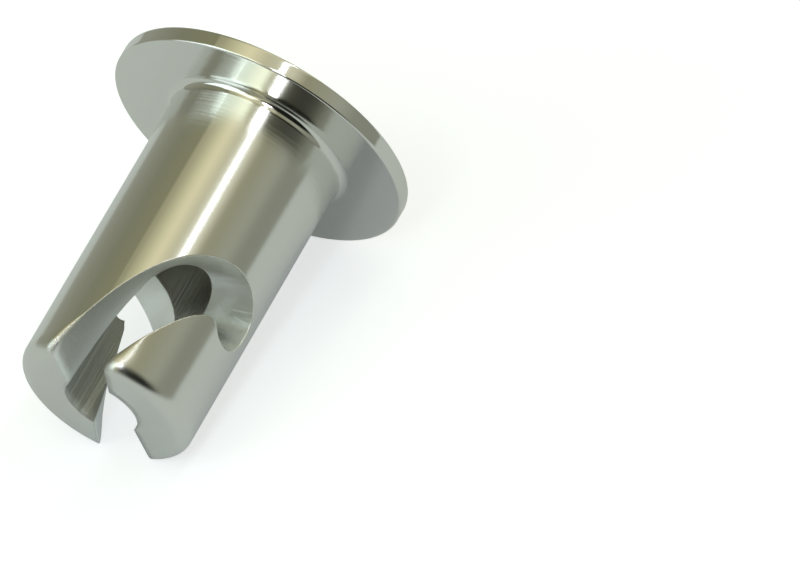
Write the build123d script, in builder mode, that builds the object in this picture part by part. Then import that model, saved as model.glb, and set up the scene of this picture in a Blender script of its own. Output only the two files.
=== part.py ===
import os
from math import atan, cos, degrees, radians, sin, sqrt, tan

from build123d import *

# Quarter turn panel fastener stud, turned and milled from one piece of aluminium bar, in millimetres.
# It is drawn upright on its own axis, with the seat of the head at height 0 and the tail upwards.
# Angles run round that axis, from the middle of the notch where one cam slot opens at the tail.

# Head
head_diameter = 19.05
rim_thickness = 1.0
rim_edge_round = 0.15
dome_radius = 25.4
driver_width = 2.1
driver_length = 15.6
driver_saw_radius = 31.75
driver_angle = -64.0
centre_mark_diameter = 0.7
centre_mark_depth = 0.3

# Shank and tail
shank_diameter = 11.11
shank_length = 19.9
root_radius = 0.5
tail_round = 0.9
bore_diameter = 4.76
bore_depth = 12.0
drill_point_angle = 118

# Cam slots, cut by an end mill that points at the axis while the stud turns
cutter_diameter = 3.56
crest_height = 11.71
cam_turn = 64.0
detent_turn = 18.5
run_out = 2.5
cutter_overreach = 1.2
flank_lean = 9.0
smooth_sections = 12
plunge_spacing = 0.35

head_radius = head_diameter / 2
shank_radius = shank_diameter / 2
bore_radius = bore_diameter / 2
cutter_radius = cutter_diameter / 2
dome_height = dome_radius - sqrt(dome_radius**2 - head_radius**2)
dome_top = -rim_thickness - dome_height

# The middle of the cutter's path is a parabola on the unrolled shank. A station is the distance
# round the shank from its crest, the point nearest to the head: positive up to the tail, and
# negative into the detent, where the spring wire comes to rest.
mouth_station = radians(cam_turn) * shank_radius
detent_station = -radians(detent_turn) * shank_radius
ramp_curve = (shank_length - crest_height) / mouth_station**2
end_station = sqrt((shank_length + run_out - crest_height) / ramp_curve)


def path_angle(station):
    return radians(-cam_turn) + station / shank_radius


def path_height(station):
    return crest_height + ramp_curve * station**2


def path_slope(station):
    return atan(2 * ramp_curve * station)


def outward(station, side_turn=0):
    angle = path_angle(station) + radians(side_turn)
    return Vector(cos(angle), sin(angle), 0)


# Square to the path at a station: x points out from the axis and y towards the head
def section_plane(station):
    out = outward(station)
    about = Vector(-out.Y, out.X, 0)
    along = about * cos(path_slope(station)) + Vector(0, 0, sin(path_slope(station)))
    return Plane(origin=Vector(0, 0, path_height(station)), x_dir=out, z_dir=along)


# Square to the end mill itself at a station: x points to the head side of the path
def plunge_plane(station, side_turn, reach):
    out = outward(station, side_turn)
    about = Vector(-out.Y, out.X, 0)
    headward = about * sin(path_slope(station)) - Vector(0, 0, cos(path_slope(station)))
    return Plane(origin=out * reach + Vector(0, 0, path_height(station)), x_dir=headward, z_dir=out)


# Half the width of the cut on its tail side, whose flank leans so that the cut narrows inwards
def flank_offset(reach):
    return cutter_radius - tan(radians(flank_lean)) * (shank_radius - reach)


# The cutter is drawn from inside the bore, with its corners inside the bore too, to outside the shank
cutter_start = 0.95 * sqrt(max(bore_radius**2 - cutter_radius**2, (bore_radius / 3) ** 2))
cutter_end = shank_radius + cutter_overreach
cutter_length = cutter_end - cutter_start
cutter_overlap = cutter_radius / 8

# On the tail side the path turns tighter than the cutter near the crest, so a smooth wall only
# starts where the cutter's edge no longer folds over itself at the bore
fold_limit = (cutter_start / shank_radius / (2 * ramp_curve * flank_offset(cutter_start))) ** (1 / 3)
smooth_station = sqrt(max(1 / min(fold_limit, 0.999) ** 2 - 1, 0)) / (2 * ramp_curve)

# Turned blank
with BuildPart() as stud:
    with BuildSketch(Plane.XZ):
        with BuildLine():
            Polyline(
                (0, shank_length),
                (shank_radius, shank_length),
                (shank_radius, 0),
                (head_radius, 0),
                (head_radius, -rim_thickness),
            )
            RadiusArc((head_radius, -rim_thickness), (0, dome_top), dome_radius)
            Line((0, dome_top), (0, shank_length))
        make_face()
    revolve(axis=Axis.Z)
    rings = stud.edges().filter_by(GeomType.CIRCLE)
    fillet(rings.group_by(Axis.Z)[-1], tail_round)
    seat_rings = rings.filter_by(lambda ring: abs(ring.center().Z) < rim_edge_round)
    fillet(seat_rings.sort_by(SortBy.RADIUS)[0], root_radius)
    rim_rings = stud.edges().filter_by(GeomType.CIRCLE).filter_by(
        lambda ring: abs(ring.radius - head_radius) < rim_edge_round
    )
    fillet(rim_rings, rim_edge_round)

    # Blind bore from the tail, with the cone that the drill leaves
    bore_floor = shank_length - bore_depth
    drill_cone = bore_radius / sin(radians(drill_point_angle / 2)) * cos(radians(drill_point_angle / 2))
    with BuildSketch(Plane.XZ):
        with BuildLine():
            Polyline(
                (0, shank_length + 1),
                (bore_radius, shank_length + 1),
                (bore_radius, bore_floor),
                (0, bore_floor - drill_cone),
                close=True,
            )
        make_face()
    revolve(axis=Axis.Z, mode=Mode.SUBTRACT)

    # Driver slot, sunk by a slitting saw, so its floor is an arc that runs out on the dome
    dome_sagitta = dome_radius - sqrt(dome_radius**2 - (driver_length / 2) ** 2)
    saw_sagitta = driver_saw_radius - sqrt(driver_saw_radius**2 - (driver_length / 2) ** 2)
    driver_floor = dome_top + dome_sagitta + saw_sagitta
    turn = radians(driver_angle)
    driver_plane = Plane(
        origin=(0, 0, driver_floor), x_dir=(cos(turn), sin(turn), 0), z_dir=(sin(turn), -cos(turn), 0)
    )
    with BuildSketch(driver_plane):
        with Locations((0, -driver_saw_radius)):
            Circle(driver_saw_radius)
    extrude(amount=driver_width / 2, both=True, mode=Mode.SUBTRACT)

    # Centre mark left by the lathe in the middle of the driver slot
    with BuildSketch(driver_plane):
        with BuildLine():
            Polyline(
                (0, centre_mark_depth),
                (centre_mark_diameter, -centre_mark_depth),
                (0, -centre_mark_depth),
                close=True,
            )
        make_face()
    revolve(axis=Axis.Z, mode=Mode.SUBTRACT)

# Head side of the cut: one smooth wall from the detent, over the crest and down to the tail
with BuildPart() as head_side:
    for step in range(smooth_sections):
        share = step / (smooth_sections - 1)
        with BuildSketch(section_plane(detent_station + share * (end_station - detent_station))):
            with Locations(((cutter_start + cutter_end) / 2, (cutter_radius - cutter_overlap) / 2)):
                Rectangle(cutter_length, cutter_radius + cutter_overlap)
    loft()

# Tail side of the cut: a smooth wall along the steep part of the ramp
with BuildPart() as tail_side:
    for step in range(smooth_sections):
        share = step / (smooth_sections - 1)
        with BuildSketch(section_plane(smooth_station + share * (end_station - smooth_station))):
            with BuildLine():
                Polyline(
                    (cutter_start, cutter_overlap),
                    (cutter_start, -flank_offset(cutter_start)),
                    (cutter_end, -flank_offset(cutter_end)),
                    (cutter_end, cutter_overlap),
                    close=True,
                )
            make_face()
    loft()

# Two cam slots, opposite each other. The end mill, stepped along the crest, makes the round end in
# the detent and the hump beside it. It is drawn a little slimmer than the slot, to keep its
# sides clear of the smooth walls.
last_station = smooth_station + cutter_radius / 2
plunge_count = max(2, round((last_station - detent_station) / plunge_spacing))
with BuildPart() as upright:
    add(stud.part)
    for side_turn in (0, 180):
        add(head_side.part, rotation=(0, 0, side_turn), mode=Mode.SUBTRACT)
        add(tail_side.part, rotation=(0, 0, side_turn), mode=Mode.SUBTRACT)
        for step in range(plunge_count + 1):
            station = detent_station + step / plunge_count * (last_station - detent_station)
            for reach in (cutter_start, cutter_end):
                with BuildSketch(plunge_plane(station, side_turn, reach)):
                    with Locations(((cutter_radius - flank_offset(reach)) / 2, 0)):
                        Circle((cutter_radius + flank_offset(reach)) / 2 - 0.01)
            loft(mode=Mode.SUBTRACT)

# The stud lies on its side, as it comes to rest: on the rim of the head and on both corners of
# one tail notch, so that the other notch is uppermost
rest_height = shank_length - tail_round
tail_points = [
    (point.X, point.Y, point.Z)
    for edge in upright.edges().filter_by(lambda edge: edge.center().Z > rest_height - tail_round)
    for point in [edge @ (step / 20) for step in range(21)]
]


# How far the tail reaches down when the stud leans and the side at the given angle faces down
def tail_reach(lean, angle):
    return max((x * cos(angle) + y * sin(angle)) * cos(lean) + z * sin(lean) for x, y, z in tail_points)


def head_reach(lean):
    return (head_radius - rim_edge_round) * cos(lean) - rim_edge_round * sin(lean) + rim_edge_round


notch_middle = path_angle(sqrt((rest_height - crest_height) / ramp_curve))
lean = atan((head_radius - shank_radius) / rest_height)
for attempt in range(6):
    angles = [notch_middle + radians(step / 10) for step in range(-100, 101)]
    rest_angle = min(angles, key=lambda angle: tail_reach(lean, angle))
    lean = lean + (head_reach(lean) - tail_reach(lean, rest_angle)) / rest_height

tail_direction = Vector(cos(lean), 0, -sin(lean))
uppermost = Vector(sin(lean), 0, cos(lean))
sideways = uppermost.cross(tail_direction)
rest_plane = Plane(
    origin=(0, 0, head_reach(lean)),
    x_dir=uppermost * cos(rest_angle) + sideways * sin(rest_angle),
    z_dir=tail_direction,
)
lying = upright.part.moved(rest_plane.location)
extent = lying.bounding_box()
lying = lying.moved(Location((-extent.center().X, -extent.center().Y, -extent.min.Z)))
lying.label = "stud"

os.makedirs("parts", exist_ok=True)
export_step(lying, "parts/stud.step")
print("stud", round(lying.volume, 2), "mm3,", len(lying.solids()), "solid,", len(lying.faces()), "faces")
print("lean", round(degrees(lean), 3), "turn", round(degrees(rest_angle), 3), "size", lying.bounding_box().size)
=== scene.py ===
import bmesh
import bpy
from math import cos, pi, radians, sin
from mathutils import Euler, Matrix, Vector

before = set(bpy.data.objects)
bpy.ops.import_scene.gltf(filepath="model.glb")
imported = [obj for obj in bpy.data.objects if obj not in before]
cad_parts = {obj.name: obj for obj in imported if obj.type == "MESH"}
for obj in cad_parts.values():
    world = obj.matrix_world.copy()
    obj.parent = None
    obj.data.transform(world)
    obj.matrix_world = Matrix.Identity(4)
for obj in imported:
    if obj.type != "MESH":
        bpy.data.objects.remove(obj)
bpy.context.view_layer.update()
scene = bpy.context.scene
print("loaded the stud")


def linear(hexColour):
    # sRGB hex to the linear colour that a shader takes
    parts = [int(hexColour[start:start + 2], 16) / 255 for start in (1, 3, 5)]
    return [part / 12.92 if part <= 0.04045 else ((part + 0.055) / 1.055) ** 2.4 for part in parts] + [1]


def addNode(tree, kind, settings=None, inputs=None):
    # a node with its settings, and with its inputs set or linked
    node = tree.nodes.new(kind)
    for name, value in (settings or {}).items():
        setattr(node, name, value)
    for name, value in (inputs or {}).items():
        if isinstance(value, bpy.types.NodeSocket):
            tree.links.new(value, node.inputs[name])
        else:
            node.inputs[name].default_value = value
    return node


def newTree(block):
    block.use_nodes = True
    block.node_tree.nodes.clear()
    return block.node_tree


# Where the stud's surfaces change, in metres and degrees. It lies on its side, and its own axis
# starts in the middle of the head's seat and runs along the shank.
studAxis = {
    "seat": (-0.008506, 0.0, 0.009268),
    "lean": 12.58,            # down towards the tail
    "rootEnd": 0.0006,        # the round at the shank's root ends here
    "slotTop": -0.0003,       # the driver slot lies before this
    "slotTurn": 61.4,         # and runs this way, from straight up towards +Y
    "slotHalfWidth": 0.00107,
    "slotReach": 0.0079,
    "boreOutside": 0.00242,
    "shankInside": 0.0055,    # just inside the shank's surface
    "tailSoft": 0.0168,       # from here on the tail's corners are buffed over more and more
    "tailRound": 0.0190,      # the rounded tail starts here
}

# Turned aluminium: bright, with fine rings round the axis that spread its reflections across
# them, and duller and streaky where an end mill, a saw or a drill cut it. The bore also gets a darker
# tone, which is painted shade in the hollow
aluminium = {
    "turnedColour": "#E2E2DE",
    "milledColour": "#F4F6F4",
    # darker than the turned colour: partly the drilled finish, mostly painted shade in the hollow bore
    "drilledShadeColour": "#CACAC4",
    "headRoughness": 0.1,     # the head mirrors more sharply than the shank, perhaps from a finer feed
    "turnedRoughness": 0.2,
    "milledRoughness": 0.36,
    "anisotropy": 0.6,
    "sidewaysFrom": 0.3,      # how far a wall faces round the axis before it counts as milled
    "edgeRound": 0.00012,     # the worn corner between two cuts
    "tailEdgeRound": 0.001,
    "feedPitch": 0.00016,     # a fine feed is about 0.08 mm, drawn coarser here so that it shows
    "ringHeight": 0.000005,
    "ringDetail": 3.0,
    "streakWidth": 0.00025,   # the end mill's chatter marks and the drill's scores
    "streakDetail": 2.0,
    "millStreakHeight": 0.00001,
    "drillStreakHeight": 0.00005,
}


def makeAluminium(values):
    material = bpy.data.materials.new("turnedAluminium")
    tree = newTree(material)
    lean = radians(studAxis["lean"])
    place = addNode(tree, "ShaderNodeTexCoord")
    own = addNode(tree, "ShaderNodeMapping", {"vector_type": "TEXTURE"}, {
        "Vector": place.outputs["Object"],
        "Location": studAxis["seat"],
        "Rotation": (0, lean, 0),
    })
    # now x runs along the stud's axis, and y and z lie across it
    parts = addNode(tree, "ShaderNodeSeparateXYZ", inputs={"Vector": own.outputs["Vector"]})
    along = parts.outputs["X"]
    across = addNode(tree, "ShaderNodeCombineXYZ", inputs={
        "Y": parts.outputs["Y"],
        "Z": parts.outputs["Z"],
    })
    radius = addNode(tree, "ShaderNodeVectorMath", {"operation": "LENGTH"}, {
        "Vector": across.outputs["Vector"],
    })

    # the way round the axis, and the way across the rings on each surface
    outward = addNode(tree, "ShaderNodeVectorRotate", {"rotation_type": "Y_AXIS"}, {
        "Vector": across.outputs["Vector"],
        "Angle": lean,
    })
    around = addNode(tree, "ShaderNodeVectorMath", {"operation": "CROSS_PRODUCT"}, {
        0: (cos(lean), 0, -sin(lean)),
        1: outward.outputs["Vector"],
    })
    roundWay = addNode(tree, "ShaderNodeVectorMath", {"operation": "NORMALIZE"}, {
        0: around.outputs["Vector"],
    })
    surface = addNode(tree, "ShaderNodeNewGeometry")
    spread = addNode(tree, "ShaderNodeVectorMath", {"operation": "CROSS_PRODUCT"}, {
        0: surface.outputs["Normal"],
        1: roundWay.outputs["Vector"],
    })

    # milled: inside the shank between the head and the tail, or facing round the axis
    facing = addNode(tree, "ShaderNodeVectorMath", {"operation": "DOT_PRODUCT"}, {
        0: surface.outputs["Normal"],
        1: roundWay.outputs["Vector"],
    })
    faceSide = addNode(tree, "ShaderNodeMath", {"operation": "ABSOLUTE"}, {0: facing.outputs["Value"]})
    sideways = addNode(tree, "ShaderNodeMath", {"operation": "GREATER_THAN"}, {
        0: faceSide.outputs[0],
        1: values["sidewaysFrom"],
    })
    inside = addNode(tree, "ShaderNodeMath", {"operation": "LESS_THAN"}, {
        0: radius.outputs["Value"],
        1: studAxis["shankInside"],
    })
    pastRoot = addNode(tree, "ShaderNodeMath", {"operation": "GREATER_THAN"}, {
        0: along,
        1: studAxis["rootEnd"],
    })
    beforeTail = addNode(tree, "ShaderNodeMath", {"operation": "LESS_THAN"}, {
        0: along,
        1: studAxis["tailRound"],
    })
    between = addNode(tree, "ShaderNodeMath", {"operation": "MULTIPLY"}, {
        0: pastRoot.outputs[0],
        1: beforeTail.outputs[0],
    })
    inCut = addNode(tree, "ShaderNodeMath", {"operation": "MULTIPLY"}, {
        0: between.outputs[0],
        1: inside.outputs[0],
    })

    # sawn: the driver slot, in a narrow band across the head
    slotTurn = radians(studAxis["slotTurn"])
    offMiddle = addNode(tree, "ShaderNodeVectorMath", {"operation": "DOT_PRODUCT"}, {
        0: across.outputs["Vector"],
        1: (0, cos(slotTurn), -sin(slotTurn)),
    })
    offSlot = addNode(tree, "ShaderNodeMath", {"operation": "ABSOLUTE"}, {0: offMiddle.outputs["Value"]})
    inBand = addNode(tree, "ShaderNodeMath", {"operation": "LESS_THAN"}, {
        0: offSlot.outputs[0],
        1: studAxis["slotHalfWidth"],
    })
    inReach = addNode(tree, "ShaderNodeMath", {"operation": "LESS_THAN"}, {
        0: radius.outputs["Value"],
        1: studAxis["slotReach"],
    })
    inHead = addNode(tree, "ShaderNodeMath", {"operation": "LESS_THAN"}, {
        0: along,
        1: studAxis["slotTop"],
    })
    bandInHead = addNode(tree, "ShaderNodeMath", {"operation": "MULTIPLY"}, {
        0: inBand.outputs[0],
        1: inHead.outputs[0],
    })
    sawn = addNode(tree, "ShaderNodeMath", {"operation": "MULTIPLY"}, {
        0: bandInHead.outputs[0],
        1: inReach.outputs[0],
    })

    # drilled: the bore's wall and cone, whose tone also carries painted shade
    inBore = addNode(tree, "ShaderNodeMath", {"operation": "LESS_THAN"}, {
        0: radius.outputs["Value"],
        1: studAxis["boreOutside"],
    })
    drilled = addNode(tree, "ShaderNodeMath", {"operation": "MULTIPLY"}, {
        0: pastRoot.outputs[0],
        1: inBore.outputs[0],
    })

    # all three are dull and streaky
    cut = addNode(tree, "ShaderNodeMath", {"operation": "MAXIMUM"}, {
        0: inCut.outputs[0],
        1: sideways.outputs[0],
    })
    cutOrSawn = addNode(tree, "ShaderNodeMath", {"operation": "MAXIMUM"}, {
        0: cut.outputs[0],
        1: sawn.outputs[0],
    })
    dull = addNode(tree, "ShaderNodeMath", {"operation": "MAXIMUM"}, {
        0: cutOrSawn.outputs[0],
        1: drilled.outputs[0],
    })

    # rings follow the axis on the shank, and the radius on the flat faces and the dome
    ringPlace = addNode(tree, "ShaderNodeMath", {"operation": "ADD"}, {
        0: along,
        1: radius.outputs["Value"],
    })
    ringCount = addNode(tree, "ShaderNodeMath", {"operation": "DIVIDE"}, {
        0: ringPlace.outputs[0],
        1: values["feedPitch"],
    })
    rings = addNode(tree, "ShaderNodeTexNoise", {"noise_dimensions": "1D"}, {
        "W": ringCount.outputs[0],
        "Scale": 1.0,
        "Detail": values["ringDetail"],
    })
    ringRise = addNode(tree, "ShaderNodeMath", {"operation": "MULTIPLY"}, {
        0: rings.outputs[0],
        1: values["ringHeight"],
    })

    # streaks run outwards on milled walls, as the end mill lies there, and along the axis in the bore
    notDrilled = addNode(tree, "ShaderNodeMath", {"operation": "SUBTRACT"}, {
        0: 1.0,
        1: drilled.outputs[0],
    })
    alongWall = addNode(tree, "ShaderNodeMath", {"operation": "MULTIPLY"}, {
        0: along,
        1: notDrilled.outputs[0],
    })
    wayOut = addNode(tree, "ShaderNodeVectorMath", {"operation": "NORMALIZE"}, {
        0: across.outputs["Vector"],
    })
    wayParts = addNode(tree, "ShaderNodeSeparateXYZ", inputs={"Vector": wayOut.outputs["Vector"]})
    turned = addNode(tree, "ShaderNodeMath", {"operation": "ARCTAN2"}, {
        0: wayParts.outputs["Y"],
        1: wayParts.outputs["Z"],
    })
    roundWall = addNode(tree, "ShaderNodeMath", {"operation": "MULTIPLY"}, {
        0: turned.outputs[0],
        1: studAxis["shankInside"],
    })
    streakPlace = addNode(tree, "ShaderNodeCombineXYZ", inputs={
        "X": alongWall.outputs[0],
        "Y": roundWall.outputs[0],
    })
    streaks = addNode(tree, "ShaderNodeTexNoise", {"noise_dimensions": "2D"}, {
        "Vector": streakPlace.outputs["Vector"],
        "Scale": 1 / values["streakWidth"],
        "Detail": values["streakDetail"],
    })
    streakHeight = addNode(tree, "ShaderNodeMix", {"data_type": "FLOAT"}, {
        0: drilled.outputs[0],
        2: values["millStreakHeight"],
        3: values["drillStreakHeight"],
    })
    streakRise = addNode(tree, "ShaderNodeMath", {"operation": "MULTIPLY"}, {
        0: streaks.outputs[0],
        1: streakHeight.outputs[0],
    })
    rise = addNode(tree, "ShaderNodeMix", {"data_type": "FLOAT"}, {
        0: dull.outputs[0],
        2: ringRise.outputs[0],
        3: streakRise.outputs[0],
    })

    # corners catch the light, most of all at the buffed tail
    cornerRound = addNode(tree, "ShaderNodeMapRange", {"interpolation_type": "SMOOTHSTEP"}, {
        "Value": along,
        "From Min": studAxis["tailSoft"],
        "From Max": studAxis["tailRound"],
        "To Min": values["edgeRound"],
        "To Max": values["tailEdgeRound"],
    })
    corner = addNode(tree, "ShaderNodeBevel", {"samples": 12}, {
        "Radius": cornerRound.outputs["Result"],
    })
    bump = addNode(tree, "ShaderNodeBump", inputs={
        "Height": rise.outputs[0],
        "Strength": 1.0,
        "Distance": 1.0,
        "Normal": corner.outputs["Normal"],
    })

    colour = addNode(tree, "ShaderNodeMix", {"data_type": "RGBA"}, {
        0: dull.outputs[0],
        6: linear(values["turnedColour"]),
        7: linear(values["milledColour"]),
    })
    # the bore takes the darker tone, painted shade in its hollow
    tone = addNode(tree, "ShaderNodeMix", {"data_type": "RGBA"}, {
        0: drilled.outputs[0],
        6: colour.outputs[2],
        7: linear(values["drilledShadeColour"]),
    })
    turnedRough = addNode(tree, "ShaderNodeMix", {"data_type": "FLOAT"}, {
        0: pastRoot.outputs[0],
        2: values["headRoughness"],
        3: values["turnedRoughness"],
    })
    rough = addNode(tree, "ShaderNodeMix", {"data_type": "FLOAT"}, {
        0: dull.outputs[0],
        2: turnedRough.outputs[0],
        3: values["milledRoughness"],
    })
    shader = addNode(tree, "ShaderNodeBsdfPrincipled", inputs={
        "Base Color": tone.outputs[2],
        "Metallic": 1.0,
        "Roughness": rough.outputs[0],
        "Anisotropic": values["anisotropy"],
        "Normal": bump.outputs["Normal"],
        "Tangent": spread.outputs["Vector"],
    })
    addNode(tree, "ShaderNodeOutputMaterial", inputs={"Surface": shader.outputs["BSDF"]})
    return material


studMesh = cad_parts["stud"].data
studMesh.materials.clear()
studMesh.materials.append(makeAluminium(aluminium))
print("stud finished:", len(studMesh.polygons), "triangles")

# Floor: a plain pale table. The lifts make it white for the camera and a little lighter in the
# metal's reflections, and leave the stud's shadow on it.
floorValues = {"size": 0.13, "colour": "#C7CFD7", "cameraLift": 0.63, "glossLift": 0.13}
floorShape = bmesh.new()
bmesh.ops.create_grid(floorShape, x_segments=1, y_segments=1, size=floorValues["size"] / 2)
floorMesh = bpy.data.meshes.new("floor")
floorShape.to_mesh(floorMesh)
floorShape.free()
floor = bpy.data.objects.new("floor", floorMesh)
scene.collection.objects.link(floor)
floorMaterial = bpy.data.materials.new("whiteTable")
tree = newTree(floorMaterial)
rays = addNode(tree, "ShaderNodeLightPath")
paint = addNode(tree, "ShaderNodeBsdfDiffuse", inputs={"Color": linear(floorValues["colour"])})
glossPart = addNode(tree, "ShaderNodeMath", {"operation": "MULTIPLY"}, {
    0: rays.outputs["Is Glossy Ray"],
    1: floorValues["glossLift"],
})
lift = addNode(tree, "ShaderNodeMath", {"operation": "MULTIPLY_ADD"}, {
    0: rays.outputs["Is Camera Ray"],
    1: floorValues["cameraLift"],
    2: glossPart.outputs[0],
})
glow = addNode(tree, "ShaderNodeEmission", inputs={"Color": (1, 1, 1, 1), "Strength": lift.outputs[0]})
both = addNode(tree, "ShaderNodeAddShader", inputs={0: paint.outputs[0], 1: glow.outputs[0]})
addNode(tree, "ShaderNodeOutputMaterial", inputs={"Surface": both.outputs[0]})
floorMesh.materials.append(floorMaterial)
print("floor laid")

# Studio. Each angle is measured round the X axis from straight up, positive towards +Y.
studio = {
    # The room's tones on the way over from -Y to +Y. They come from the photograph's reflections
    # across the shank, measured there and then adjusted. The two at 150 are given, not measured.
    "room": [
        (-150, "#8C8E84"),
        (-95, "#9A9C8E"),
        (-60, "#868772"),
        (-34, "#8C8B6E"),
        (-14, "#DEDAB2"),
        (-7, "#F2EAC2"),
        (6, "#CCC9AA"),
        (25, "#D9D7BC"),
        (35, "#9C9B80"),
        (62, "#A6A898"),
        (76, "#919485"),
        (150, "#868982"),
    ],
    # the room is dark this way, low behind the camera, going by the photograph's reflections
    "dark": {"towards": (0.76, 0.50, 0.28), "edge": 0.80, "full": 0.93, "left": 0.03},
    "aimHeight": 0.008,
    "lamps": {
        "whiteTube": {
            "angle": 18, "forward": 0, "distance": 0.5, "length": 1.3, "width": 0.028,
            "colour": "#F2F7FF", "brightness": 4.9,
        },
        "tubeEnd": {
            "angle": 20, "forward": 42, "distance": 0.5, "length": 0.14, "width": 0.09,
            "colour": "#F2F7FF", "brightness": 6,
        },
        "windowBox": {
            "angle": -24, "forward": 42, "distance": 0.7, "length": 0.34, "width": 0.5,
            "colour": "#E2F4EE", "brightness": 1.12,
        },
        "lowWindow": {
            "angle": -62, "forward": 50, "distance": 0.7, "length": 0.4, "width": 0.5,
            "colour": "#E2F2F6", "brightness": 1.4,
        },
    },
}
world = bpy.data.worlds.new("room")
scene.world = world
tree = newTree(world)
way = addNode(tree, "ShaderNodeTexCoord")
wayParts = addNode(tree, "ShaderNodeSeparateXYZ", inputs={"Vector": way.outputs["Generated"]})
wayAngle = addNode(tree, "ShaderNodeMath", {"operation": "ARCTAN2"}, {
    0: wayParts.outputs["Y"],
    1: wayParts.outputs["Z"],
})
share = addNode(tree, "ShaderNodeMapRange", inputs={
    "Value": wayAngle.outputs[0],
    "From Min": -pi,
    "From Max": pi,
})
tones = addNode(tree, "ShaderNodeValToRGB", inputs={"Fac": share.outputs["Result"]})
stops = tones.color_ramp.elements
while len(stops) < len(studio["room"]):
    stops.new(0.5)
for stop, (angle, tone) in zip(stops, studio["room"]):
    stop.position = (angle + 180) / 360
    stop.color = linear(tone)

dark = studio["dark"]
nearness = addNode(tree, "ShaderNodeVectorMath", {"operation": "DOT_PRODUCT"}, {
    0: way.outputs["Generated"],
    1: Vector(dark["towards"]).normalized(),
})
dimming = addNode(tree, "ShaderNodeMapRange", {"interpolation_type": "SMOOTHSTEP"}, {
    "Value": nearness.outputs["Value"],
    "From Min": dark["edge"],
    "From Max": dark["full"],
    "To Min": 1.0,
    "To Max": dark["left"],
})
room = addNode(tree, "ShaderNodeBackground", inputs={
    "Color": tones.outputs["Color"],
    "Strength": dimming.outputs["Result"],
})

# the camera sees plain white
rays = addNode(tree, "ShaderNodeLightPath")
white = addNode(tree, "ShaderNodeBackground", inputs={"Color": (1, 1, 1, 1), "Strength": 1.0})
seen = addNode(tree, "ShaderNodeMixShader", inputs={
    0: rays.outputs["Is Camera Ray"],
    1: room.outputs[0],
    2: white.outputs[0],
})
addNode(tree, "ShaderNodeOutputWorld", inputs={"Surface": seen.outputs[0]})

for name, values in studio["lamps"].items():
    light = bpy.data.lights.new(name, "AREA")
    light.shape = "RECTANGLE"
    light.size = values["length"]
    light.size_y = values["width"]
    light.color = linear(values["colour"])[:3]
    light.energy = values["brightness"] * pi * values["length"] * values["width"]
    sideTurn = Euler((radians(-values["angle"]), 0, 0)).to_matrix()
    forwardTurn = Euler((0, radians(values["forward"]), 0)).to_matrix()
    turn = sideTurn @ forwardTurn
    place = turn @ Vector((0, 0, values["distance"])) + Vector((0, 0, studio["aimHeight"]))
    lamp = bpy.data.objects.new(name, light)
    lamp.matrix_world = Matrix.Translation(place) @ turn.to_4x4()
    scene.collection.objects.link(lamp)
print("studio set up")

# Camera: a long lens, as in the photograph
cameraValues = {
    "place": (0.40917, 0.31186, 0.49060),
    "turn": (46.131, 6.739, 119.541),
    "lens": 540,
    "sensorWidth": 36,
    "nearest": 0.01,
    "farthest": 10,
}
cameraData = bpy.data.cameras.new("camera")
cameraData.lens = cameraValues["lens"]
cameraData.sensor_width = cameraValues["sensorWidth"]
cameraData.clip_start = cameraValues["nearest"]
cameraData.clip_end = cameraValues["farthest"]
camera = bpy.data.objects.new("camera", cameraData)
camera.location = cameraValues["place"]
camera.rotation_euler = [radians(part) for part in cameraValues["turn"]]
scene.collection.objects.link(camera)
scene.camera = camera

scene.view_settings.view_transform = "Standard"
print("camera placed")
